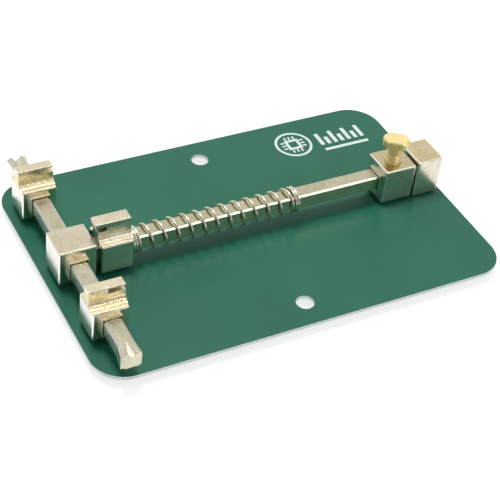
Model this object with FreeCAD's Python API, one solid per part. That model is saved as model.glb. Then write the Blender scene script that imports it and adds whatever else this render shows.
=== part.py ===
"""PCB holder vise: a painted steel plate carrying a T of square bars with sliding jaws.

Millimetres, +Z up.  The origin is on the bench under the middle of the plate.
X runs along the main bar from the tee block to the end block, Y along the cross bar.
Each function returns one sub-part, and main() writes each one to parts/NODE.step.
"""
import FreeCAD, Part
import math
import os

Vector = FreeCAD.Vector
X_AXIS = Vector(1, 0, 0)
Y_AXIS = Vector(0, 1, 0)
Z_AXIS = Vector(0, 0, 1)

# Base plate and what it stands on
PLATE_LENGTH = 120.0
PLATE_WIDTH = 80.0
PLATE_THICKNESS = 1.0
PLATE_CORNER_RADIUS = 9.0
MOUNT_HOLE_RADIUS = 2.5
MOUNT_HOLE_Y = 32.2
FOOT_HEIGHT = 2.4
FOOT_RADIUS = 4.0
FOOT_TAPER = 0.6
FOOT_INSET = 9.0
PLATE_TOP = FOOT_HEIGHT + PLATE_THICKNESS

# Heights of the bars, the tee block and the jaws
TEE_WASHER_THICKNESS = 1.2
BLOCK_BOTTOM = PLATE_TOP + TEE_WASHER_THICKNESS
BLOCK_HEIGHT = 10.6
BAR_DROP = 0.1
BAR_Z = BLOCK_BOTTOM + BLOCK_HEIGHT / 2 - BAR_DROP
BAR_SIZE = 4.6
BAR_CHAMFER = 0.45
BLOCK_ROUNDING = 0.5
BLOCK_WIDTH = 9.8

# Tee block and cross bar
TEE_X = -52.5
TEE_LENGTH = 10.4
TEE_WIDTH = 9.6
CROSS_BAR_X = -52.8
CROSS_BAR_HALF_LENGTH = 40.7
STAKE_LENGTH = 4.4
STAKE_FLARES = {-1: (0.8, 0.15), 1: (0.35, 0.35)}
STAKE_NOTCH_WIDTH = 2.6
STAKE_NOTCH_DEPTH = 1.3

# End block and main bar
END_BLOCK_START = 50.1
END_BLOCK_FINISH = 58.3
END_BLOCK_HEIGHT = 12.1
END_WASHER_THICKNESS = 0.4
BAR_POCKET_DEPTH = 5.0

# Lock block, thumb screw and pressure pad
LOCK_START = 39.5
LOCK_FINISH = 49.4
LOCK_CLEARANCE = 0.8
LOCK_HEIGHT = 11.1
LOCK_SLEEVE_PROUD = 0.7
SCREW_RADIUS = 2.25
SCREW_NECK_RADIUS = 2.0
SCREW_BORE_RADIUS = 2.3
SCREW_COUNTERSINK = 0.45
THREAD_RINGS = 6
THREAD_SHOWN = 2.2
THREAD_CREST = 0.2
SCREW_STAND_HEIGHT = 7.5
HEAD_LENGTH = 7.7
HEAD_WIDTH = 5.4
HEAD_HEIGHT = 2.8
HEAD_TURN_DEG = -36.0
HEAD_CHAMFER = 0.5
GRIP_GROOVE_COUNT = 4
GRIP_GROOVE_PITCH = 0.95
GRIP_GROOVE_RADIUS = 0.26
PAD_RADIUS = 2.2
PAD_HEIGHT = 0.9
PAD_GAP = 0.02

# Jaws: a block with an upright wall, slotted from one side to hold a board's edge
CROSS_JAW_WIDTH = 9.8
CLAMP_JAW_WIDTH = 9.2
JAW_HEIGHT = 9.1
CROSS_JAW_LENGTH = 8.9
CLAMP_JAW_LENGTH = 9.1
UPPER_JAW_Y = 27.25
LOWER_JAW_Y = -22.3
CLAMP_JAW_X = -41.35
CROSS_WALL_THICKNESS = 2.9
CLAMP_WALL_THICKNESS = 3.7
CROSS_WALL_HEIGHT = 5.0
CLAMP_WALL_HEIGHT = 5.6
CLAMP_LIP_OVERHANG = 0.8
WALL_ROUNDING = 0.35
GRIP_SLOT_BOTTOM = 3.0
GRIP_SLOT_HEIGHT = 1.5
CROSS_SLOT_DEPTH = 4.6
CLAMP_SLOT_DEPTH = 2.4
COVE_RADIUS = 1.8
COVE_SINK = 0.03

# Square sleeves pressed into the blocks, with a plastic liner against the bar
SLEEVE_SIZE = 5.5
SLEEVE_PROUD = 1.4
LINER_SIZE = 5.0
LINER_CLEARANCE = 0.03
TEE_SLEEVE_DEPTH = 2.0

# Coil spring round the main bar
SPRING_END = 13.7
SPRING_WIRE = 0.7
SPRING_CLEARANCE = 0.02
SPRING_MEAN_RADIUS = 3.32
SPRING_OPEN_TURNS = 12
SPRING_CLOSED_TURNS = 2.5
SPRING_CLOSED_PITCH = 0.75
SPRING_STEPS_PER_TURN = 16

# Fasteners under the plate (M3)
BASE_SCREW_RADIUS = 1.5
BASE_SCREW_HOLE_RADIUS = 1.6
BASE_SCREW_HEAD_RADIUS = 2.75
BASE_SCREW_HEAD_HEIGHT = 1.7
BASE_SCREW_HEAD_ROUND = 0.6
HEX_SOCKET_WIDTH = 2.0
HEX_SOCKET_DEPTH = 0.9
WASHER_RADIUS = 3.5

# How far a cutter runs past a face, how deep joined pieces run into each other, and a size taken as zero
OVERRUN = 1.0
OVERLAP = 0.1
TINY = 1e-6

END_BLOCK_X = (END_BLOCK_START + END_BLOCK_FINISH) / 2
END_BLOCK_LENGTH = END_BLOCK_FINISH - END_BLOCK_START
LOCK_X = (LOCK_START + LOCK_FINISH) / 2
LOCK_LENGTH = LOCK_FINISH - LOCK_START
LOCK_BOTTOM = PLATE_TOP + LOCK_CLEARANCE
LOCK_TOP = LOCK_BOTTOM + LOCK_HEIGHT
END_BLOCK_BOTTOM = PLATE_TOP + END_WASHER_THICKNESS
TEE_FACE_X = TEE_X + TEE_LENGTH / 2
MAIN_BAR_START = CROSS_BAR_X + BAR_SIZE / 2
MAIN_BAR_FINISH = END_BLOCK_START + BAR_POCKET_DEPTH
SPRING_START = CLAMP_JAW_X + CLAMP_JAW_LENGTH / 2
BAR_TOP = BAR_Z + BAR_SIZE / 2
BAR_BOTTOM = BAR_Z - BAR_SIZE / 2
PAD_BOTTOM = BAR_TOP + PAD_GAP
PAD_TOP = PAD_BOTTOM + PAD_HEIGHT


def box(low, high):
    """Box between two opposite corners."""
    size = [b - a for a, b in zip(low, high)]
    return Part.makeBox(*size, Vector(*low))


def block(centre_x, centre_y, length_x, length_y, height, bottom=BLOCK_BOTTOM):
    """Rectangular block with every edge rounded."""
    low = (centre_x - length_x / 2, centre_y - length_y / 2, bottom)
    high = (centre_x + length_x / 2, centre_y + length_y / 2, bottom + height)
    body = box(low, high)
    return body.makeFillet(BLOCK_ROUNDING, body.Edges)


def square_prism(direction, start, finish, size, across=0.0, chamfer=0.0):
    """Square bar along X or Y at bar height, with its long edges chamfered if asked."""
    half = size / 2
    flat = half - chamfer
    outline = [(-flat, -half), (flat, -half), (half, -flat), (half, flat),
               (flat, half), (-flat, half), (-half, flat), (-half, -flat)]
    if chamfer == 0.0:
        outline = [(-half, -half), (half, -half), (half, half), (-half, half)]
    if direction == X_AXIS:
        points = [Vector(start, across + side, BAR_Z + up) for side, up in outline]
    else:
        points = [Vector(across + side, start, BAR_Z + up) for side, up in outline]
    face = Part.Face(Part.makePolygon(points + [points[0]]))
    return face.extrude(direction * (finish - start))


def square_tube(direction, start, finish, outer, inner, across=0.0):
    """Square tube round a bar."""
    tube = square_prism(direction, start, finish, outer, across)
    return tube.cut(square_prism(direction, start, finish, inner, across))


def cylinder(radius, bottom, top, x=0.0, y=0.0):
    """Upright cylinder."""
    return Part.makeCylinder(radius, top - bottom, Vector(x, y, bottom), Z_AXIS)


def base_plate():
    """Sheet steel plate with round corners, two mounting holes and two screw holes."""
    plate = box((-PLATE_LENGTH / 2, -PLATE_WIDTH / 2, FOOT_HEIGHT),
                (PLATE_LENGTH / 2, PLATE_WIDTH / 2, PLATE_TOP))
    corners = [edge for edge in plate.Edges if abs(edge.tangentAt(edge.FirstParameter).z) > 0.9]
    plate = plate.makeFillet(PLATE_CORNER_RADIUS, corners)
    for side in (-1, 1):
        hole = cylinder(MOUNT_HOLE_RADIUS, 0, PLATE_TOP + OVERRUN, 0, side * MOUNT_HOLE_Y)
        plate = plate.cut(hole)
    for x in (TEE_X, END_BLOCK_X):
        hole = cylinder(BASE_SCREW_HOLE_RADIUS, 0, PLATE_TOP + OVERRUN, x)
        plate = plate.cut(hole)
    return plate


def rubber_feet():
    """Four stick-on feet under the plate's corners."""
    feet = []
    for side_x in (-1, 1):
        for side_y in (-1, 1):
            x = side_x * (PLATE_LENGTH / 2 - FOOT_INSET)
            y = side_y * (PLATE_WIDTH / 2 - FOOT_INSET)
            feet.append(Part.makeCone(FOOT_RADIUS - FOOT_TAPER, FOOT_RADIUS, FOOT_HEIGHT, Vector(x, y, 0)))
    return Part.makeCompound(feet)


def base_screws():
    """Two socket-head screws up through the plate, whose tips bear on the bars."""
    screws = []
    for x in (TEE_X, END_BLOCK_X):
        head_bottom = FOOT_HEIGHT - BASE_SCREW_HEAD_HEIGHT
        head = cylinder(BASE_SCREW_HEAD_RADIUS, head_bottom, FOOT_HEIGHT, x)
        rim = [edge for edge in head.Edges if abs(edge.BoundBox.ZMax - head_bottom) < TINY]
        head = head.makeFillet(BASE_SCREW_HEAD_ROUND, rim)
        socket = hexagon_prism(HEX_SOCKET_WIDTH, head_bottom, HEX_SOCKET_DEPTH, x)
        shank = cylinder(BASE_SCREW_RADIUS, FOOT_HEIGHT - OVERLAP, BAR_BOTTOM, x)
        screws.append(head.fuse(shank).cut(socket).removeSplitter())
    return Part.makeCompound(screws)


def hexagon_prism(across_flats, bottom, height, x):
    """Upright hexagonal prism."""
    radius = across_flats / math.sqrt(3)
    points = []
    for corner in range(7):
        angle = math.radians(60 * corner)
        points.append(Vector(x + radius * math.cos(angle), radius * math.sin(angle), bottom))
    return Part.Face(Part.makePolygon(points)).extrude(Z_AXIS * height)


def spacer_washers():
    """Two washers that hold the fixed blocks off the plate, so the jaws slide clear of it."""
    washers = []
    for x, top in ((TEE_X, BLOCK_BOTTOM), (END_BLOCK_X, END_BLOCK_BOTTOM)):
        washer = cylinder(WASHER_RADIUS, PLATE_TOP, top, x)
        hole = cylinder(BASE_SCREW_HOLE_RADIUS, PLATE_TOP, top, x)
        washers.append(washer.cut(hole))
    return Part.makeCompound(washers)


def base_screw_hole(x):
    """Threaded hole in a fixed block's underside, up to the bar."""
    return cylinder(BASE_SCREW_RADIUS, PLATE_TOP, BAR_BOTTOM, x)


def bar_cutter(direction, start, finish, across=0.0):
    """Chamfered square hole that a bar is a press fit in."""
    return square_prism(direction, start, finish, BAR_SIZE, across, BAR_CHAMFER)


def tee_block():
    """Fixed block where the two bars meet."""
    body = block(TEE_X, 0, TEE_LENGTH, TEE_WIDTH, BLOCK_HEIGHT)
    body = body.cut(bar_cutter(Y_AXIS, -TEE_WIDTH, TEE_WIDTH, CROSS_BAR_X))
    body = body.cut(bar_cutter(X_AXIS, CROSS_BAR_X, TEE_FACE_X + OVERRUN))
    front = -TEE_WIDTH / 2
    pocket = square_prism(Y_AXIS, front - OVERRUN, front + TEE_SLEEVE_DEPTH,
                          SLEEVE_SIZE, CROSS_BAR_X)
    return body.cut(pocket).cut(base_screw_hole(TEE_X))


def tee_block_sleeve():
    """Short square sleeve that stands proud of the tee block round the cross bar."""
    front = -TEE_WIDTH / 2
    return square_tube(Y_AXIS, front - SLEEVE_PROUD, front + TEE_SLEEVE_DEPTH,
                       SLEEVE_SIZE, LINER_SIZE, CROSS_BAR_X)


def tee_block_liner():
    """Plastic liner between the tee block's sleeve and the cross bar."""
    front = -TEE_WIDTH / 2
    return square_tube(Y_AXIS, front - SLEEVE_PROUD, front + TEE_SLEEVE_DEPTH,
                       LINER_SIZE, BAR_SIZE + 2 * LINER_CLEARANCE, CROSS_BAR_X)


def cross_bar():
    """Square bar across the tee block, its ends staked so that the jaws can't come off."""
    half = CROSS_BAR_HALF_LENGTH
    bar = square_prism(Y_AXIS, -half, half, BAR_SIZE, CROSS_BAR_X, BAR_CHAMFER)
    for side in (-1, 1):
        bar = bar.fuse(stake_flare(side)).removeSplitter()
        bar = bar.cut(stake_notch(side))
    return bar


def stake_flare(side):
    """Wedge of metal spread sideways at one end of the cross bar."""
    inner_y = side * (CROSS_BAR_HALF_LENGTH - STAKE_LENGTH)
    outer_y = side * CROSS_BAR_HALF_LENGTH
    low_x = CROSS_BAR_X - BAR_SIZE / 2
    high_x = CROSS_BAR_X + BAR_SIZE / 2
    low_flare, high_flare = STAKE_FLARES[side]
    flat = BAR_SIZE - 2 * BAR_CHAMFER
    low = BAR_Z - flat / 2
    points = [Vector(low_x, inner_y, low), Vector(high_x, inner_y, low),
              Vector(high_x + high_flare, outer_y, low), Vector(low_x - low_flare, outer_y, low)]
    face = Part.Face(Part.makePolygon(points + [points[0]]))
    return face.extrude(Z_AXIS * flat)


def stake_notch(side):
    """V-shaped chisel mark in the top of the cross bar, deepest at the end."""
    inner_y = side * (CROSS_BAR_HALF_LENGTH - STAKE_LENGTH)
    outer_y = side * (CROSS_BAR_HALF_LENGTH + OVERLAP)
    half = STAKE_NOTCH_WIDTH / 2
    tip = Vector(CROSS_BAR_X, inner_y, BAR_TOP)
    left = Vector(CROSS_BAR_X - half, outer_y, BAR_TOP)
    right = Vector(CROSS_BAR_X + half, outer_y, BAR_TOP)
    root = Vector(CROSS_BAR_X, outer_y, BAR_TOP - STAKE_NOTCH_DEPTH)
    triangles = [(tip, left, right), (tip, left, root), (tip, root, right), (left, right, root)]
    faces = [Part.Face(Part.makePolygon(list(corners) + [corners[0]])) for corners in triangles]
    return Part.makeSolid(Part.makeShell(faces))


def main_bar():
    """Square bar from the tee block to the end block."""
    return square_prism(X_AXIS, MAIN_BAR_START, MAIN_BAR_FINISH, BAR_SIZE, 0, BAR_CHAMFER)


def end_block():
    """Fixed block that holds the main bar's far end."""
    body = block(END_BLOCK_X, 0, END_BLOCK_LENGTH, BLOCK_WIDTH, END_BLOCK_HEIGHT, END_BLOCK_BOTTOM)
    body = body.cut(bar_cutter(X_AXIS, END_BLOCK_START - OVERRUN, MAIN_BAR_FINISH))
    return body.cut(base_screw_hole(END_BLOCK_X))


def jaw_body(centre, lengths, wall, slot_depth, opens_towards):
    """Block with an upright slotted wall.

    centre and lengths are the block's in X and Y, wall is the wall's thickness and height,
    slot_depth is how far the slot runs in, and opens_towards is the sign of X that it faces.
    """
    centre_x, centre_y = centre
    length_x, length_y = lengths
    ledge = BLOCK_BOTTOM + JAW_HEIGHT
    body = block(centre_x, centre_y, length_x, length_y, JAW_HEIGHT)
    upright = coved_wall(centre_x - length_x / 2, length_x, centre_y, ledge, *wall)
    body = body.fuse(upright).removeSplitter()
    slot_mouth = centre_x + opens_towards * length_x / 2
    slot_end = slot_mouth - opens_towards * slot_depth
    slot_start = slot_mouth + opens_towards * OVERRUN
    slot_bottom = ledge + GRIP_SLOT_BOTTOM
    slot = box((min(slot_end, slot_start), centre_y - length_y, slot_bottom),
               (max(slot_end, slot_start), centre_y + length_y, slot_bottom + GRIP_SLOT_HEIGHT))
    return body.cut(slot)


def coved_wall(start, length, centre_y, ledge, thickness, height):
    """Wall along X whose foot spreads into the ledge in a hollow curve on both sides.

    It runs down into the block below, and fills the block's rounded edge at both ends.
    """
    half = thickness / 2
    foot = half + COVE_RADIUS
    curve_bottom = ledge - COVE_SINK
    curve_top = curve_bottom + COVE_RADIUS
    bulge = COVE_RADIUS * math.sqrt(0.5)
    root = ledge - 2 * BLOCK_ROUNDING

    def point(side, z):
        return Vector(start, centre_y + side, z)

    def line(first, last):
        return Part.LineSegment(first, last).toShape()

    def curve(sign):
        middle = point(sign * (foot - bulge), curve_top - bulge)
        return Part.Arc(point(sign * foot, curve_bottom), middle, point(sign * half, curve_top)).toShape()

    outline = [line(point(foot, root), point(foot, curve_bottom)), curve(1),
               line(point(half, curve_top), point(half, ledge + height)),
               line(point(half, ledge + height), point(-half, ledge + height)),
               line(point(-half, ledge + height), point(-half, curve_top)), curve(-1),
               line(point(-foot, curve_bottom), point(-foot, root)),
               line(point(-foot, root), point(foot, root))]
    wall = Part.Face(Part.Wire(Part.__sortEdges__(outline))).extrude(X_AXIS * length)
    top_edges = [edge for edge in wall.Edges if edge.BoundBox.ZMin > ledge + height - TINY]
    return wall.makeFillet(WALL_ROUNDING, top_edges)


def cross_jaw(centre_y):
    """Jaw that slides along the cross bar, its slot facing the clamp jaw."""
    body = jaw_body((TEE_X, centre_y), (CROSS_JAW_WIDTH, CROSS_JAW_LENGTH),
                    (CROSS_WALL_THICKNESS, CROSS_WALL_HEIGHT), CROSS_SLOT_DEPTH, 1)
    bore = square_prism(Y_AXIS, centre_y - CROSS_JAW_LENGTH, centre_y + CROSS_JAW_LENGTH,
                        SLEEVE_SIZE, CROSS_BAR_X)
    return body.cut(bore)


def cross_jaw_tube(centre_y, outer, inner):
    """Square tube through a cross jaw, proud of its front face."""
    front = centre_y - CROSS_JAW_LENGTH / 2 - SLEEVE_PROUD
    back = centre_y + CROSS_JAW_LENGTH / 2
    return square_tube(Y_AXIS, front, back, outer, inner, CROSS_BAR_X)


def cross_jaw_sleeve(centre_y):
    """Brass sleeve pressed through a cross jaw."""
    return cross_jaw_tube(centre_y, SLEEVE_SIZE, LINER_SIZE)


def cross_jaw_liner(centre_y):
    """Plastic liner that grips the cross bar, so that the jaw stays where it is put."""
    return cross_jaw_tube(centre_y, LINER_SIZE, BAR_SIZE + 2 * LINER_CLEARANCE)


def clamp_jaw():
    """Spring-loaded jaw on the main bar, its slot facing the cross jaws under a longer lip."""
    body = jaw_body((CLAMP_JAW_X, 0), (CLAMP_JAW_LENGTH, CLAMP_JAW_WIDTH),
                    (CLAMP_WALL_THICKNESS, CLAMP_WALL_HEIGHT), CLAMP_SLOT_DEPTH, -1)
    lip_bottom = BLOCK_BOTTOM + JAW_HEIGHT + GRIP_SLOT_BOTTOM + GRIP_SLOT_HEIGHT
    lip_top = BLOCK_BOTTOM + JAW_HEIGHT + CLAMP_WALL_HEIGHT
    face_x = CLAMP_JAW_X - CLAMP_JAW_LENGTH / 2
    lip = box((face_x - CLAMP_LIP_OVERHANG, -CLAMP_WALL_THICKNESS / 2, lip_bottom),
              (face_x + CLAMP_SLOT_DEPTH, CLAMP_WALL_THICKNESS / 2, lip_top))
    inner_x = face_x + CLAMP_SLOT_DEPTH - TINY
    outer_edges = [edge for edge in lip.Edges if edge.BoundBox.XMin < inner_x]
    outer_edges = [edge for edge in outer_edges if edge.BoundBox.ZMax > lip_bottom + TINY]
    body = body.fuse(lip.makeFillet(WALL_ROUNDING, outer_edges)).removeSplitter()
    half = CLAMP_JAW_LENGTH
    return body.cut(square_prism(X_AXIS, CLAMP_JAW_X - half, CLAMP_JAW_X + half, SLEEVE_SIZE))


def main_bar_tube(start, finish, outer, inner):
    """Square tube through a block on the main bar."""
    return square_tube(X_AXIS, start, finish, outer, inner)


def clamp_jaw_sleeve():
    """Brass sleeve pressed through the clamp jaw, flush at both ends."""
    half = CLAMP_JAW_LENGTH / 2
    return main_bar_tube(CLAMP_JAW_X - half, CLAMP_JAW_X + half, SLEEVE_SIZE, LINER_SIZE)


def clamp_jaw_liner():
    """Plastic liner between the clamp jaw and the main bar."""
    half = CLAMP_JAW_LENGTH / 2
    return main_bar_tube(CLAMP_JAW_X - half, CLAMP_JAW_X + half,
                         LINER_SIZE, BAR_SIZE + 2 * LINER_CLEARANCE)


def spring_centre_line(first, last):
    """Points along the wire: closed turns at both ends, evenly opened turns between them."""
    closed_run = SPRING_CLOSED_TURNS * SPRING_CLOSED_PITCH
    open_pitch = (last - first - 2 * closed_run) / SPRING_OPEN_TURNS
    turns = SPRING_OPEN_TURNS + 2 * SPRING_CLOSED_TURNS
    points = []
    for step in range(round(turns * SPRING_STEPS_PER_TURN) + 1):
        turn = step / SPRING_STEPS_PER_TURN
        opened = min(max(turn - SPRING_CLOSED_TURNS, 0), SPRING_OPEN_TURNS)
        x = first + (turn - opened) * SPRING_CLOSED_PITCH + opened * open_pitch
        angle = 2 * math.pi * turn
        y = SPRING_MEAN_RADIUS * math.cos(angle)
        z = SPRING_MEAN_RADIUS * math.sin(angle)
        points.append(Vector(x, y, BAR_Z + z))
    return points


def clamp_spring():
    """Open coil spring loose on the main bar, with closed turns at each end."""
    wire = SPRING_WIRE / 2
    points = spring_centre_line(SPRING_START + wire + SPRING_CLEARANCE, SPRING_END - wire)
    curve = Part.BSplineCurve()
    curve.interpolate(points)
    profile = Part.Wire(Part.makeCircle(wire, points[0], curve.tangent(0)[0]))
    return Part.Wire(curve.toShape()).makePipeShell([profile], True, True)


def lock_block():
    """Block that sets where the spring's far end bears, clamped by the thumb screw."""
    body = block(LOCK_X, 0, LOCK_LENGTH, BLOCK_WIDTH, LOCK_HEIGHT, LOCK_BOTTOM)
    body = body.cut(square_prism(X_AXIS, LOCK_START - OVERRUN, LOCK_FINISH + OVERRUN, SLEEVE_SIZE))
    mouth = Part.makeCone(SCREW_BORE_RADIUS, SCREW_BORE_RADIUS + SCREW_COUNTERSINK, SCREW_COUNTERSINK,
                          Vector(LOCK_X, 0, LOCK_TOP - SCREW_COUNTERSINK))
    return body.cut(cylinder(SCREW_BORE_RADIUS, BAR_Z, LOCK_TOP + OVERRUN, LOCK_X)).cut(mouth)


def lock_block_sleeve():
    """Brass sleeve pressed through the lock block, with a hole for the pressure pad."""
    tube = main_bar_tube(LOCK_START - LOCK_SLEEVE_PROUD, LOCK_FINISH, SLEEVE_SIZE, LINER_SIZE)
    return tube.cut(cylinder(SCREW_BORE_RADIUS, BAR_Z, LOCK_TOP, LOCK_X))


def lock_block_liner():
    """Plastic liner between the lock block and the main bar."""
    tube = main_bar_tube(LOCK_START - LOCK_SLEEVE_PROUD, LOCK_FINISH,
                         LINER_SIZE, BAR_SIZE + 2 * LINER_CLEARANCE)
    return tube.cut(cylinder(SCREW_BORE_RADIUS, BAR_Z, LOCK_TOP, LOCK_X))


def thumb_screw():
    """Brass screw with a flattened, grooved head."""
    head_bottom = LOCK_TOP + SCREW_STAND_HEIGHT - HEAD_HEIGHT
    shank = threaded_shank(PAD_TOP, LOCK_TOP + THREAD_SHOWN, head_bottom + OVERLAP)
    screw = obround_head(head_bottom).fuse(shank).removeSplitter()
    screw.rotate(Vector(LOCK_X, 0, 0), Z_AXIS, HEAD_TURN_DEG)
    return screw


def threaded_shank(bottom, thread_top, neck_top):
    """Shank with a thinner neck above its thread, which is drawn as plain rings."""
    pitch = (thread_top - bottom) / THREAD_RINGS
    outline = [(0, bottom), (SCREW_NECK_RADIUS, bottom)]
    for index in range(THREAD_RINGS):
        crest = bottom + (index + 0.5) * pitch
        outline.append((SCREW_RADIUS, crest - THREAD_CREST / 2))
        outline.append((SCREW_RADIUS, crest + THREAD_CREST / 2))
        outline.append((SCREW_NECK_RADIUS, bottom + (index + 1) * pitch))
    outline += [(SCREW_NECK_RADIUS, neck_top), (0, neck_top)]
    points = [Vector(LOCK_X + radius, 0, z) for radius, z in outline]
    section = Part.Face(Part.makePolygon(points + [points[0]]))
    return section.revolve(Vector(LOCK_X, 0, 0), Z_AXIS, 360)


def obround_head(bottom):
    """Flat-sided thumb grip, chamfered, with upright grip grooves in its flat sides."""
    half_width = HEAD_WIDTH / 2
    half_run = HEAD_LENGTH / 2 - half_width
    grip = box((LOCK_X - half_run, -half_width, bottom),
               (LOCK_X + half_run, half_width, bottom + HEAD_HEIGHT))
    for side in (-1, 1):
        grip = grip.fuse(cylinder(half_width, bottom, bottom + HEAD_HEIGHT, LOCK_X + side * half_run))
    grip = grip.removeSplitter()
    rims = [edge for edge in grip.Edges if edge.BoundBox.ZLength < TINY]
    grip = grip.makeChamfer(HEAD_CHAMFER, rims)
    first = -(GRIP_GROOVE_COUNT - 1) / 2
    for index in range(GRIP_GROOVE_COUNT):
        x = LOCK_X + (first + index) * GRIP_GROOVE_PITCH
        for side in (-1, 1):
            groove = cylinder(GRIP_GROOVE_RADIUS, bottom, bottom + HEAD_HEIGHT, x, side * half_width)
            grip = grip.cut(groove)
    return grip


def pressure_pad():
    """Soft pad under the thumb screw that presses on the bar without marking it."""
    return cylinder(PAD_RADIUS, PAD_BOTTOM, PAD_TOP, LOCK_X)


def main():
    """Write every sub-part."""
    parts = {
        "base_plate": base_plate(),
        "rubber_feet": rubber_feet(),
        "base_screws": base_screws(),
        "spacer_washers": spacer_washers(),
        "tee_block": tee_block(),
        "tee_block_sleeve": tee_block_sleeve(),
        "tee_block_liner": tee_block_liner(),
        "cross_bar": cross_bar(),
        "main_bar": main_bar(),
        "end_block": end_block(),
        "upper_jaw": cross_jaw(UPPER_JAW_Y),
        "upper_jaw_sleeve": cross_jaw_sleeve(UPPER_JAW_Y),
        "upper_jaw_liner": cross_jaw_liner(UPPER_JAW_Y),
        "lower_jaw": cross_jaw(LOWER_JAW_Y),
        "lower_jaw_sleeve": cross_jaw_sleeve(LOWER_JAW_Y),
        "lower_jaw_liner": cross_jaw_liner(LOWER_JAW_Y),
        "clamp_jaw": clamp_jaw(),
        "clamp_jaw_sleeve": clamp_jaw_sleeve(),
        "clamp_jaw_liner": clamp_jaw_liner(),
        "clamp_spring": clamp_spring(),
        "lock_block": lock_block(),
        "lock_block_sleeve": lock_block_sleeve(),
        "lock_block_liner": lock_block_liner(),
        "thumb_screw": thumb_screw(),
        "pressure_pad": pressure_pad(),
    }
    os.makedirs("parts", exist_ok=True)
    for name, shape in parts.items():
        shape.exportStep(f"parts/{name}.step")
        print(f"{name}: {len(shape.Solids)} solids, {shape.Volume:.1f} mm3, valid {shape.isValid()}")


main()
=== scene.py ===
"""Looks for the PCB holder vise: materials, coil spring, printed badge, floor, light and camera."""
import bpy
import bmesh
import math
from mathutils import Matrix, Vector

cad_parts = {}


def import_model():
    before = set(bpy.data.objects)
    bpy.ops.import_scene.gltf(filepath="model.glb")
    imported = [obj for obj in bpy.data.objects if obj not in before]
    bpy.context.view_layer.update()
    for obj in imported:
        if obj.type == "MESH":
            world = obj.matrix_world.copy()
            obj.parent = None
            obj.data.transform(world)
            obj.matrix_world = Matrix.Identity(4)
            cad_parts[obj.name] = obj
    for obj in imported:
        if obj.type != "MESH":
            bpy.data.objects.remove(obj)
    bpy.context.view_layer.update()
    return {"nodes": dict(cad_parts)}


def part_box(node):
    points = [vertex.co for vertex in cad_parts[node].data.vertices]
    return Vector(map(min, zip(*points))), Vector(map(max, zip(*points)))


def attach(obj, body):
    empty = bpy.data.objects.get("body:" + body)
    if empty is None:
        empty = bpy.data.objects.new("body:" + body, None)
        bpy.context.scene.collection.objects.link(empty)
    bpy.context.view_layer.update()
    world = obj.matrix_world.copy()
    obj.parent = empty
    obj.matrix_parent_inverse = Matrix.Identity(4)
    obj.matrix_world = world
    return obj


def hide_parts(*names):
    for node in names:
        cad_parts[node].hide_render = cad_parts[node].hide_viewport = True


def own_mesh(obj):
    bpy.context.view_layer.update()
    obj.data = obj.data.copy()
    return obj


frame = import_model()
nodes = frame["nodes"]

MM = 0.001
PLATE_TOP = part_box("base_plate")[1].z
BAR_Z = sum(corner.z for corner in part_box("main_bar")) / 2

# The ledge is the top of a jaw's body, which its wall stands on
JAW_BODY_HEIGHT = 9.1 * MM
LEDGE_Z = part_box("upper_jaw")[0].z + JAW_BODY_HEIGHT


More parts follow.
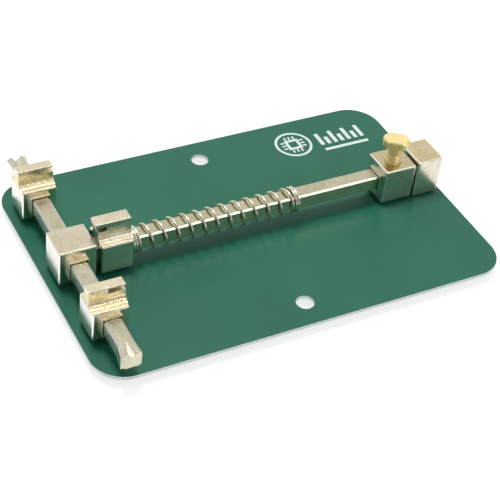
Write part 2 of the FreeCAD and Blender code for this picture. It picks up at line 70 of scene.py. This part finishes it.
# ---------------------------------------------------------------- node helpers
class Graph:
    """A material and short ways to add nodes to it."""

    def __init__(self, name, metallic=0.0, roughness=0.5, colour=(0.8, 0.8, 0.8), **sockets):
        self.material = bpy.data.materials.new(name)
        self.material.use_nodes = True
        self.tree = self.material.node_tree
        self.shader = self.tree.nodes["Principled BSDF"]
        self.set("Metallic", metallic)
        self.set("Roughness", roughness)
        self.set("Base Color", colour)
        for key, value in sockets.items():
            self.set(key.replace("_", " ").title().replace("Ior", "IOR"), value)
        self.here = self.add("TexCoord").outputs["Object"]

    def put(self, socket, value):
        """Links another node's output to the socket, or sets the socket's own value."""
        if isinstance(value, bpy.types.NodeSocket):
            self.tree.links.new(value, socket)
        elif hasattr(value, "__len__") and len(value) == 3 and socket.type == "RGBA":
            socket.default_value = (*value, 1.0)
        else:
            socket.default_value = value

    def set(self, name, value):
        """Sets or links one of the shader's inputs."""
        self.put(self.shader.inputs[name], value)

    def add(self, kind, inputs=None, **settings):
        """New node, with its inputs by name or number and its settings as keywords."""
        node = self.tree.nodes.new("ShaderNode" + kind)
        for key, value in settings.items():
            setattr(node, key, value)
        for key, value in (inputs or {}).items():
            self.put(node.inputs[key], value)
        return node

    def math(self, operation, *values):
        node = self.add("Math", dict(enumerate(values)), operation=operation)
        return node.outputs[0]

    def axis(self, vector, name):
        return self.add("SeparateXYZ", {0: vector}).outputs[name]

    def stretched(self, per_mm):
        """Object coordinates with their own number of features per millimetre on each axis."""
        scale = tuple(value / MM for value in per_mm)
        return self.add("VectorMath", {0: self.here, 1: scale}, operation="MULTIPLY").outputs[0]

    def noise(self, per_mm, detail=3.0, roughness=0.55, distortion=0.0):
        """Noise from 0 to 1 with per_mm features a millimetre, one number or one for each axis."""
        scale = per_mm if hasattr(per_mm, "__len__") else (per_mm,) * 3
        node = self.add("TexNoise", {"Vector": self.stretched(scale), "Scale": 1.0, "Detail": detail,
                                     "Roughness": roughness, "Distortion": distortion})
        return node.outputs["Fac"]

    def span(self, value, low, high, to_low=0.0, to_high=1.0):
        """value rescaled from low..high to to_low..to_high, clamped."""
        node = self.add("MapRange", {"Value": value, "From Min": low, "From Max": high,
                                     "To Min": to_low, "To Max": to_high}, clamp=True)
        return node.outputs["Result"]

    def mix(self, share, first, second):
        """First colour where share is 0, second where it is 1."""
        node = self.add("Mix", data_type="RGBA")
        self.put(node.inputs[0], share)
        self.put(node.inputs[6], first)
        self.put(node.inputs[7], second)
        return node.outputs[2]

    def mix_values(self, share, first, second):
        """First number where share is 0, second where it is 1."""
        node = self.add("Mix", {0: share, 2: first, 3: second}, data_type="FLOAT")
        return node.outputs[0]

    def round_edges(self, radius_mm):
        """Normal that shades sharp edges as if they were rounded."""
        return self.add("Bevel", {"Radius": radius_mm * MM}, samples=6).outputs["Normal"]

    def openness(self, reach_mm):
        """1 in the open, falling towards 0 deep in a slot or a corner."""
        return self.add("AmbientOcclusion", {"Distance": reach_mm * MM}, samples=12).outputs["AO"]

    def bump(self, height, depth_mm, normal=None):
        """Normal of a surface raised by height times depth, on top of another normal if given."""
        inputs = {"Height": height, "Distance": depth_mm * MM}
        if normal is not None:
            inputs["Normal"] = normal
        return self.add("Bump", inputs).outputs["Normal"]

    # Mask used both to paint a highlight on the rounded edges and to make them rougher, as rubbed
    def edge_sheen_and_wear(self):
        """1 on the rounded edges between faces that are square to an axis, 0 on the faces."""
        across = self.math("MAXIMUM", self.faces("X"), self.faces("Y"))
        squareness = self.math("MAXIMUM", across, self.faces("Z"))
        return self.span(squareness, 0.90, 0.985, 1.0, 0.0)

    def faces(self, axis):
        """Size of the surface normal's part along an axis, 1 on faces square to it."""
        normal = self.add("NewGeometry").outputs["True Normal"]
        return self.math("ABSOLUTE", self.axis(normal, axis))


def darker(colour, share):
    """The colour with this share of its light left."""
    return tuple(share * value for value in colour)


def dress(material, *names):
    """Gives the material to CAD nodes."""
    for name in names:
        data = nodes[name].data
        data.materials.clear()
        data.materials.append(material)


# ---------------------------------------------------------------- materials
NICKEL = (0.86, 0.80, 0.66)
NICKEL_DEEP = (0.74, 0.66, 0.50)
GOLD = (1.0, 0.86, 0.54)
CLAMP_GOLD = (0.92, 0.82, 0.56)
GOLD_GLINT = (0.96, 0.90, 0.70)
# Near-white painted highlight on the rounded edges of plated parts
EDGE_PAINTED_HIGHLIGHT = (0.98, 0.97, 0.86)
EDGE_ROUNDING_MM = 0.14
SWELL_PER_MM = 0.45
SWELL_DEPTH_MM = 0.012

# The faces that look along the main bar are mixed with a paler colour, a painted reflection of the bright
# surroundings
SIDE_PAINTED_REFLECTION = (0.88, 0.90, 0.87)
SIDE_SHARE = 0.75

# Milled brass on the jaws starts just under the ledge and fades out up the wall
CUT_START = LEDGE_Z - 0.25 * MM
CUT_FULL = LEDGE_Z - 0.02 * MM
CUT_FADE = LEDGE_Z + 3.4 * MM
CUT_END = LEDGE_Z + 4.3 * MM
CUT_SHARE_AT_END = 0.35
CUT_DEPTH_MM = 0.055

# Painted shade deep in the board slots, darkest where they close in most
SLOT_REACH_MM = 5.0
SLOT_PAINTED_SHADE = (0.09, 0.075, 0.05)


def plate_paint():
    """Satin green coat on sheet steel, bare on the cut edges."""
    g = Graph("plate_green", specular_ior_level=0.38)
    cloud = g.noise(0.035, 2.0)
    drawn = g.noise((0.5, 7.0, 1.0), 3.0, 0.6)
    speck = g.span(g.noise(2.6, 2.0), 0.66, 0.74)
    green = g.mix(g.span(cloud, 0.35, 0.65), (0.004, 0.104, 0.062), (0.008, 0.122, 0.076))
    green = g.mix(g.span(drawn, 0.3, 0.7, 0.0, 0.22), green, (0.014, 0.146, 0.094))
    green = g.mix(g.math("MULTIPLY", speck, 0.25), green, (0.05, 0.22, 0.16))
    side = g.span(g.faces("Z"), 0.45, 0.65, 1.0, 0.0)
    rub = g.noise(1.4, 3.0)
    bare = g.mix(g.span(rub, 0.35, 0.7), (0.62, 0.66, 0.63), (0.42, 0.50, 0.46))
    g.set("Base Color", g.mix(side, green, bare))
    g.set("Metallic", g.math("MULTIPLY", side, 0.75))
    coat = g.span(drawn, 0.25, 0.75, 0.34, 0.44)
    g.set("Roughness", g.mix_values(side, coat, 0.38))
    skin = g.math("ADD", g.math("MULTIPLY", drawn, 0.5), g.noise(1.1, 3.0))
    g.set("Normal", g.bump(skin, 0.004, g.round_edges(0.12)))
    return g.material


def plated(name, pale, deep, rough, brushed, front_reflection=None, edge_sheen=0.85, worn_rough=0.12):
    """Polished nickel plate: cloudy tint, fine lines along one way, a slightly wavy surface.

    brushed is the number of fine lines a millimetre on each axis. front, if given, is a paler,
    cooler colour on the faces that look across the main bar, a painted reflection. worn is how
    pale the edges are painted, a painted highlight, and worn_rough how much rougher they are than the
    faces.
    """
    g = Graph(name, metallic=1.0)
    cloud = g.noise(0.22, 3.0, 0.6)
    lines = g.noise(brushed, 4.0, 0.6)
    tint = g.mix(g.span(cloud, 0.32, 0.68), pale, deep)
    # Faces that look across the main bar get a paler, cooler colour: a painted reflection
    if front_reflection is not None:
        tint = g.mix(g.span(g.faces("Y"), 0.5, 0.8), tint, front_reflection)
    tint = g.mix(g.span(lines, 0.42, 0.75, 0.0, 0.35), tint, darker(deep, 0.72))
    pits = g.span(g.noise(2.4, 2.0, 0.5), 0.66, 0.76)
    tint = g.mix(g.math("MULTIPLY", pits, 0.45), tint, darker(deep, 0.5))
    grain = g.noise(2.2, 3.0, 0.65)
    tint = g.mix(g.span(grain, 0.45, 0.68, 0.0, 0.55), tint, darker(deep, 0.70))
    # Faces that look along the main bar are painted paler: a painted reflection
    tint = g.mix(g.span(g.faces("X"), 0.5, 0.8, 0.0, SIDE_SHARE), tint, SIDE_PAINTED_REFLECTION)
    # Rounded edges: a painted highlight in the colour, and rougher from rubbing
    blend_share = g.edge_sheen_and_wear()
    g.set("Base Color", g.mix(g.math("MULTIPLY", blend_share, edge_sheen), tint, EDGE_PAINTED_HIGHLIGHT))
    g.set("Roughness", g.math("ADD", g.span(lines, 0.3, 0.75, rough, rough + 0.14),
                              g.math("MULTIPLY", blend_share, worn_rough)))
    edge = g.round_edges(EDGE_ROUNDING_MM)
    swell = g.bump(g.noise(SWELL_PER_MM, 2.0, 0.5), SWELL_DEPTH_MM, edge)
    skin = g.math("ADD", g.math("MULTIPLY", lines, 0.6), g.math("ADD", pits, grain))
    g.set("Normal", g.bump(skin, 0.006, swell))
    return g.material


def milled_jaw(name, gold_share, nickel, deep, gold):
    """Plated block whose ledge and wall foot show rough milled brass.

    gold_share is the range of the blotches' noise over which plate gives way to brass.
    """
    g = Graph(name, metallic=1.0)
    cloud = g.noise(0.25, 3.0, 0.6)
    lines = g.noise((1.2, 0.35, 6.0), 3.0, 0.6)
    tint = g.mix(g.span(cloud, 0.32, 0.68), nickel, deep)
    # Faces that look along the main bar are painted paler: a painted reflection
    tint = g.mix(g.span(g.faces("X"), 0.5, 0.8, 0.0, SIDE_SHARE), tint, SIDE_PAINTED_REFLECTION)
    tint = g.mix(g.span(lines, 0.45, 0.75, 0.0, 0.3), tint, darker(deep, 0.7))
    height = g.axis(g.here, "Z")
    above = g.span(height, CUT_START, CUT_FULL)
    below_cap = g.span(height, CUT_FADE, CUT_END, 1.0, CUT_SHARE_AT_END)
    blotch = g.noise(0.75, 4.0, 0.66, 0.6)
    cutter = g.noise((0.9, 2.6, 2.6), 4.0, 0.65, 0.5)
    cut = g.math("MULTIPLY", above, below_cap)
    spread = g.span(blotch, *gold_share)
    golden = g.mix(g.span(cutter, 0.38, 0.68), gold, darker(gold, 0.70))
    golden = g.mix(g.span(g.noise(1.3, 3.0), 0.56, 0.66), golden, GOLD_GLINT)
    share = g.math("MULTIPLY", cut, spread)
    uncut = g.math("SUBTRACT", 1.0, cut)
    # Rounded edges of the plated parts get a painted highlight
    blend_share = g.math("MULTIPLY", g.math("MULTIPLY", g.edge_sheen_and_wear(), uncut), 0.75)
    shell = g.mix(blend_share, g.mix(share, tint, golden), EDGE_PAINTED_HIGHLIGHT)
    # Painted shade where the slots close in
    slot_shade = g.span(g.openness(SLOT_REACH_MM), 0.26, 0.55, 0.9, 0.0)
    g.set("Base Color", g.mix(slot_shade, shell, SLOT_PAINTED_SHADE))
    g.set("Roughness", g.mix_values(cut, g.span(lines, 0.3, 0.75, 0.13, 0.26),
                                      g.span(cutter, 0.3, 0.75, 0.20, 0.38)))
    edge = g.round_edges(EDGE_ROUNDING_MM)
    swell = g.bump(g.noise(SWELL_PER_MM, 2.0, 0.5), SWELL_DEPTH_MM, edge)
    marks = g.math("ADD", cutter, g.math("MULTIPLY", g.noise(1.5, 4.0, 0.65), 1.4))
    rough_cut = g.math("MULTIPLY", marks, cut)
    g.set("Normal", g.bump(rough_cut, CUT_DEPTH_MM, swell))
    return g.material


def brass():
    """Bare turned brass with upright streaks, darker where fingers don't polish it."""
    g = Graph("screw_brass", metallic=0.88)
    streaks = g.noise((3.2, 3.2, 0.22), 3.0, 0.6)
    rings = g.noise((0.3, 0.3, 5.5), 2.0, 0.5)
    cloud = g.noise(0.45, 3.0)
    tint = g.mix(g.span(cloud, 0.3, 0.7), (1.0, 0.86, 0.48), (0.97, 0.76, 0.34))
    tint = g.mix(g.span(streaks, 0.46, 0.72, 0.0, 0.6), tint, (0.72, 0.50, 0.19))
    tint = g.mix(g.span(streaks, 0.42, 0.28, 0.0, 0.5), tint, (1.0, 0.93, 0.66))
    g.set("Base Color", tint)
    g.set("Roughness", g.span(streaks, 0.3, 0.7, 0.34, 0.5))
    edge = g.round_edges(0.12)
    g.set("Normal", g.bump(g.math("ADD", g.math("MULTIPLY", rings, 0.5), streaks), 0.02, edge))
    return g.material


def wire_metal():
    """Bright drawn spring wire with a faint warm tint and die lines."""
    g = Graph("spring_wire", metallic=1.0)
    cloud = g.noise(0.7, 3.0)
    tint = g.mix(g.span(cloud, 0.3, 0.7), (0.90, 0.88, 0.77), (0.74, 0.70, 0.57))
    spots = g.span(g.noise(3.5, 2.0), 0.62, 0.7)
    g.set("Base Color", g.mix(g.math("MULTIPLY", spots, 0.5), tint, (0.35, 0.28, 0.18)))
    g.set("Roughness", g.span(cloud, 0.3, 0.75, 0.24, 0.36))
    g.set("Normal", g.bump(g.noise(3.0, 3.0), 0.006))
    return g.material


def plain(name, light, dark, roughness, grain, depth, metallic=0.0):
    """Small-part material: two mixed tones, grainy bump and uneven gloss."""
    g = Graph(name, metallic=metallic)
    tone = g.noise(grain, 4.0, 0.6)
    g.set("Base Color", g.mix(g.span(tone, 0.3, 0.7), light, dark))
    g.set("Roughness", g.span(tone, 0.3, 0.7, roughness - 0.06, roughness + 0.08))
    g.set("Normal", g.bump(tone, depth, g.round_edges(0.08)))
    return g.material


def print_ink():
    """White screen print: slightly uneven, with pinholes where the green shows."""
    g = Graph("print_white", roughness=0.42)
    holes = g.span(g.noise(2.2, 3.0), 0.64, 0.74)
    blend_share = g.span(g.noise(0.35, 3.0), 0.35, 0.75, 0.0, 0.22)
    white = g.mix(blend_share, (0.62, 0.72, 0.72), (0.40, 0.56, 0.54))
    g.set("Base Color", g.mix(g.math("MULTIPLY", holes, 0.6), white, (0.12, 0.30, 0.22)))
    g.set("Normal", g.bump(g.noise(1.8, 3.0), 0.004))
    return g.material


dress(plate_paint(), "base_plate")
dress(plated("tee_nickel", NICKEL, NICKEL_DEEP, 0.13, (0.5, 5.0, 1.6)), "tee_block")
dress(plated("end_nickel", (0.84, 0.75, 0.52), (0.72, 0.60, 0.36), 0.15, (0.5, 5.0, 1.6),
             front_reflection=(0.80, 0.76, 0.68)), "end_block")
dress(plated("lock_nickel", (0.72, 0.64, 0.44), (0.60, 0.51, 0.32), 0.17, (0.5, 5.0, 1.6),
             front_reflection=(0.70, 0.68, 0.62)), "lock_block")
dress(plated("bar_nickel", (0.72, 0.71, 0.54), (0.58, 0.56, 0.39), 0.09, (0.25, 5.0, 5.0),
             edge_sheen=0.6, worn_rough=0.22), "main_bar")
dress(plated("cross_bar_nickel", (0.73, 0.71, 0.57), (0.58, 0.55, 0.40), 0.16, (5.0, 0.25, 5.0),
             edge_sheen=0.2, worn_rough=0.25), "cross_bar")
dress(plated("sleeve_brass", (0.86, 0.82, 0.64), (0.74, 0.68, 0.47), 0.14, (1.0, 1.0, 4.0)),
      "tee_block_sleeve", "upper_jaw_sleeve", "lower_jaw_sleeve", "clamp_jaw_sleeve", "lock_block_sleeve")
dress(milled_jaw("cross_jaw_brass", (0.26, 0.46), NICKEL, NICKEL_DEEP, GOLD), "upper_jaw", "lower_jaw")
dress(milled_jaw("clamp_jaw_brass", (0.50, 0.70), NICKEL, NICKEL_DEEP, CLAMP_GOLD), "clamp_jaw")
dress(brass(), "thumb_screw")
dress(plain("liner_black", (0.018, 0.018, 0.016), (0.008, 0.008, 0.008), 0.5, 1.5, 0.01),
      "tee_block_liner", "upper_jaw_liner", "lower_jaw_liner", "clamp_jaw_liner", "lock_block_liner")
dress(plain("foot_rubber", (0.035, 0.035, 0.035), (0.015, 0.015, 0.015), 0.7, 2.0, 0.03), "rubber_feet")
dress(plain("pad_nylon", (0.70, 0.68, 0.60), (0.55, 0.52, 0.44), 0.45, 1.0, 0.01), "pressure_pad")
dress(plain("zinc_steel", (0.68, 0.69, 0.68), (0.48, 0.49, 0.50), 0.3, 1.2, 0.01, 1.0),
      "base_screws", "spacer_washers")


# ---------------------------------------------------------------- pieces
def mesh_object(name, bm, material, smooth=True):
    """Object from a bmesh, with its faces shaded smooth or flat."""
    bmesh.ops.recalc_face_normals(bm, faces=bm.faces)
    data = bpy.data.meshes.new(name)
    bm.to_mesh(data)
    bm.free()
    for polygon in data.polygons:
        polygon.use_smooth = smooth
    data.materials.append(material)
    piece = bpy.data.objects.new(name, data)
    bpy.context.scene.collection.objects.link(piece)
    return piece


OPEN_TURNS = 12
CLOSED_TURNS = 2.5
CLOSED_PITCH = 0.75 * MM
WIRE_RADIUS = 0.35 * MM
STEPS_PER_TURN = 56
WIRE_SIDES = 14

# The wire's share of its full thickness where it is cut off, and how much it gains a turn from there
GROUND_SHARE = 0.80
GROUND_GAIN_PER_TURN = 1.6


def coil_spring():
    """Closed turns at both ends, open turns between, each end ground a little flat."""
    low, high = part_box("clamp_spring")
    mean_radius = (high.y - low.y) / 2 - WIRE_RADIUS
    first, last = low.x + WIRE_RADIUS, high.x - WIRE_RADIUS
    turns = OPEN_TURNS + 2 * CLOSED_TURNS
    open_pitch = (last - first - 2 * CLOSED_TURNS * CLOSED_PITCH) / OPEN_TURNS
    steps = round(turns * STEPS_PER_TURN)
    blur = STEPS_PER_TURN // 4
    advance = []
    for step in range(steps):
        middle = (step + 0.5) / STEPS_PER_TURN
        is_open = CLOSED_TURNS < middle < turns - CLOSED_TURNS
        advance.append((open_pitch if is_open else CLOSED_PITCH) / STEPS_PER_TURN)
    eased = []
    for step in range(steps):
        window = advance[max(0, step - blur):step + blur + 1]
        eased.append(sum(window) / len(window))
    share = (last - first) / sum(eased)
    bm = bmesh.new()
    rings = []
    x = first
    for step in range(steps + 1):
        angle = 2 * math.pi * step / STEPS_PER_TURN
        radial = Vector((0, math.cos(angle), math.sin(angle)))
        rise = eased[min(step, steps - 1)] * share * STEPS_PER_TURN
        forward = Vector((rise, -2 * math.pi * mean_radius * math.sin(angle),
                          2 * math.pi * mean_radius * math.cos(angle))).normalized()
        side = radial.cross(forward).normalized()
        from_end = min(step, steps - step) / STEPS_PER_TURN
        radius = WIRE_RADIUS * min(1.0, GROUND_SHARE + GROUND_GAIN_PER_TURN * from_end)
        centre = Vector((x, 0, BAR_Z)) + radial * mean_radius
        ring = []
        for corner in range(WIRE_SIDES):
            turn = 2 * math.pi * corner / WIRE_SIDES
            ring.append(bm.verts.new(centre + radius * (radial * math.cos(turn) + side * math.sin(turn))))
        rings.append(ring)
        if step < steps:
            x += eased[step] * share
    for before, after in zip(rings, rings[1:]):
        for corner in range(WIRE_SIDES):
            following = (corner + 1) % WIRE_SIDES
            bm.faces.new((before[corner], before[following], after[following], after[corner]))
    bm.faces.new(rings[0])
    bm.faces.new(rings[-1])
    piece = mesh_object("coil_spring", bm, wire_metal())
    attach(piece, "clamp_jaw")
    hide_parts("clamp_spring")
    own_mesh(piece)


coil_spring()

INK_THICKNESS = 0.03 * MM
INK_SINK = 0.005 * MM

# Printed ring with the outline of a chip in it, and the chip's legs on all four sides
RING_CENTRE = (29.6 * MM, 29.4 * MM)
RING_INNER = 4.9 * MM
RING_OUTER = 5.7 * MM
RING_SIDES = 64
CHIP_INNER = 1.9 * MM
CHIP_OUTER = 3.2 * MM
LEGS_PER_SIDE = 3
LEG_PITCH = 1.35 * MM
LEG_HALF_WIDTH = 0.3 * MM
LEG_START = 2.5 * MM
LEG_END = 3.7 * MM

# Printed row of bars, tall and short by turns, and the line under it
BAR_COUNT = 7
BARS_START = 37.6 * MM
BARS_BOTTOM = 26.2 * MM
BAR_PITCH = 2.25 * MM
BAR_WIDTH = 1.25 * MM
TALL_BAR = 5.6 * MM
SHORT_BAR = 3.4 * MM
LINE_LENGTH = 14.75 * MM
LINE_BOTTOM = 23.4 * MM
LINE_TOP = 24.5 * MM


def flat_ring(bm, centre, inner, outer, sides, turn=0.0):
    """Flat ring with this many sides, lying level."""
    loops = []
    for radius in (inner, outer):
        loop = []
        for corner in range(sides):
            angle = turn + 2 * math.pi * corner / sides
            loop.append(bm.verts.new((centre[0] + radius * math.cos(angle),
                                      centre[1] + radius * math.sin(angle), 0)))
        loops.append(loop)
    for corner in range(sides):
        following = (corner + 1) % sides
        bm.faces.new((loops[0][corner], loops[1][corner], loops[1][following], loops[0][following]))


def flat_patch(bm, low, high):
    """Flat rectangle, lying level."""
    corners = [(low[0], low[1]), (high[0], low[1]), (high[0], high[1]), (low[0], high[1])]
    bm.faces.new([bm.verts.new((x, y, 0)) for x, y in corners])


def thicken(bm, height):
    """Closes the flat faces into solids of this height, always in the same order."""
    bottoms = list(bm.faces)
    rims = [edge for edge in bm.edges if len(edge.link_faces) == 1]
    lift = Vector((0, 0, height))
    above = {vertex: bm.verts.new(vertex.co + lift) for vertex in list(bm.verts)}
    for face in bottoms:
        bm.faces.new([above[vertex] for vertex in face.verts])
    for edge in rims:
        start, end = edge.verts
        bm.faces.new((start, end, above[end], above[start]))


def printed_badge():
    """Generic print: a plain ring with a chip outline, and a row of bars beside it."""
    bm = bmesh.new()
    x, y = RING_CENTRE
    flat_ring(bm, RING_CENTRE, RING_INNER, RING_OUTER, RING_SIDES)
    flat_ring(bm, RING_CENTRE, CHIP_INNER, CHIP_OUTER, 4, math.pi / 4)
    for index in range(LEGS_PER_SIDE):
        offset = (index - 1) * LEG_PITCH
        before, after = offset - LEG_HALF_WIDTH, offset + LEG_HALF_WIDTH
        for side in (-1, 1):
            near, far = sorted((side * LEG_START, side * LEG_END))
            flat_patch(bm, (x + near, y + before), (x + far, y + after))
            flat_patch(bm, (x + before, y + near), (x + after, y + far))
    for index in range(BAR_COUNT):
        left = BARS_START + index * BAR_PITCH
        height = TALL_BAR if index % 2 == 0 else SHORT_BAR
        flat_patch(bm, (left, BARS_BOTTOM), (left + BAR_WIDTH, BARS_BOTTOM + height))
    flat_patch(bm, (BARS_START, LINE_BOTTOM), (BARS_START + LINE_LENGTH, LINE_TOP))
    thicken(bm, INK_THICKNESS)
    bmesh.ops.translate(bm, vec=(0, 0, PLATE_TOP - INK_SINK), verts=list(bm.verts))
    badge = mesh_object("printed_badge", bm, print_ink(), smooth=False)
    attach(badge, "base")


printed_badge()


# ---------------------------------------------------------------- floor, light, camera
FLOOR_HALF_SIZE = 4.0
FLOOR_GLOW = 0.78


def floor():
    """Pale flat floor that glows a little, so that it comes out evenly white."""
    g = Graph("floor_pale", roughness=0.6, emission_color=(1, 1, 1), emission_strength=FLOOR_GLOW)
    tone = g.noise(0.01, 3.0)
    g.set("Base Color", g.mix(g.span(tone, 0.3, 0.7), (0.32, 0.32, 0.32), (0.28, 0.28, 0.285)))
    bm = bmesh.new()
    flat_patch(bm, (-FLOOR_HALF_SIZE, -FLOOR_HALF_SIZE), (FLOOR_HALF_SIZE, FLOOR_HALF_SIZE))
    mesh_object("floor", bm, g.material, smooth=False)


LIGHT_COLOUR = (1.0, 0.98, 0.95)


def area_light(name, place, target, size, power):
    """Square soft light at place, aimed at target."""
    data = bpy.data.lights.new(name, "AREA")
    data.shape = "SQUARE"
    data.size = size
    data.energy = power
    data.color = LIGHT_COLOUR
    lamp = bpy.data.objects.new(name, data)
    lamp.location = place
    lamp.rotation_euler = (Vector(target) - Vector(place)).to_track_quat("-Z", "Y").to_euler()
    bpy.context.scene.collection.objects.link(lamp)


SKY_COLOUR = (1.0, 0.985, 0.95, 1.0)
BRIGHT_WAY = Vector((0.40, 0.64, 0.66))
DIM_FACING = -0.3
BRIGHT_FACING = 0.9
DIM_LEVEL = 0.20
BRIGHT_LEVEL = 0.86


def world():
    """Surroundings that grow brighter towards the back and top, where the blocks' tops look."""
    surroundings = bpy.data.worlds.new("studio")
    surroundings.use_nodes = True
    tree = surroundings.node_tree
    background = tree.nodes["Background"]
    background.inputs["Color"].default_value = SKY_COLOUR
    place = tree.nodes.new("ShaderNodeTexCoord")
    towards = tree.nodes.new("ShaderNodeVectorMath")
    towards.operation = "DOT_PRODUCT"
    towards.inputs[1].default_value = BRIGHT_WAY.normalized()
    level = tree.nodes.new("ShaderNodeMapRange")
    level.inputs["From Min"].default_value = DIM_FACING
    level.inputs["From Max"].default_value = BRIGHT_FACING
    level.inputs["To Min"].default_value = DIM_LEVEL
    level.inputs["To Max"].default_value = BRIGHT_LEVEL
    tree.links.new(place.outputs["Generated"], towards.inputs[0])
    tree.links.new(towards.outputs["Value"], level.inputs["Value"])
    tree.links.new(level.outputs["Result"], background.inputs["Strength"])
    bpy.context.scene.world = surroundings


CAMERA_AZIMUTH_DEG = -31.57
CAMERA_ELEVATION_DEG = 40.886
CAMERA_DISTANCE = 377.85 * MM
CAMERA_TARGET = Vector((-4.24 * MM, -8.59 * MM, PLATE_TOP))
CAMERA_ROLL_DEG = 7.134
SENSOR_WIDTH = 36.0
FOCAL_SHARE = 1396.19 / 500


def camera():
    """Camera that looks at the target from its azimuth and elevation, rolled about its view line."""
    azimuth = math.radians(CAMERA_AZIMUTH_DEG)
    elevation = math.radians(CAMERA_ELEVATION_DEG)
    roll = math.radians(CAMERA_ROLL_DEG)
    away = Vector((math.sin(azimuth) * math.cos(elevation),
                   -math.cos(azimuth) * math.cos(elevation), math.sin(elevation)))
    forward = -away
    level = forward.cross(Vector((0, 0, 1))).normalized()
    upright = level.cross(forward)
    right = math.cos(roll) * level + math.sin(roll) * upright
    up = -math.sin(roll) * level + math.cos(roll) * upright
    data = bpy.data.cameras.new("camera")
    data.sensor_width = SENSOR_WIDTH
    data.lens = SENSOR_WIDTH * FOCAL_SHARE
    data.clip_start = 0.01
    view = bpy.data.objects.new("camera", data)
    turn = Matrix((right, up, away)).transposed().to_4x4()
    view.matrix_world = Matrix.Translation(CAMERA_TARGET + away * CAMERA_DISTANCE) @ turn
    bpy.context.scene.collection.objects.link(view)
    bpy.context.scene.camera = view


floor()
world()
area_light("back_soft", place=(-0.05, 0.15, 0.66), target=(0, 0, 0), size=0.16, power=2.7)
area_light("front_soft", place=(0.27, -0.45, 0.46), target=(0, 0, 0.005), size=0.16, power=0.55)
camera()
bpy.context.scene.view_settings.view_transform = "Standard"
bpy.context.scene.view_settings.look = "None"
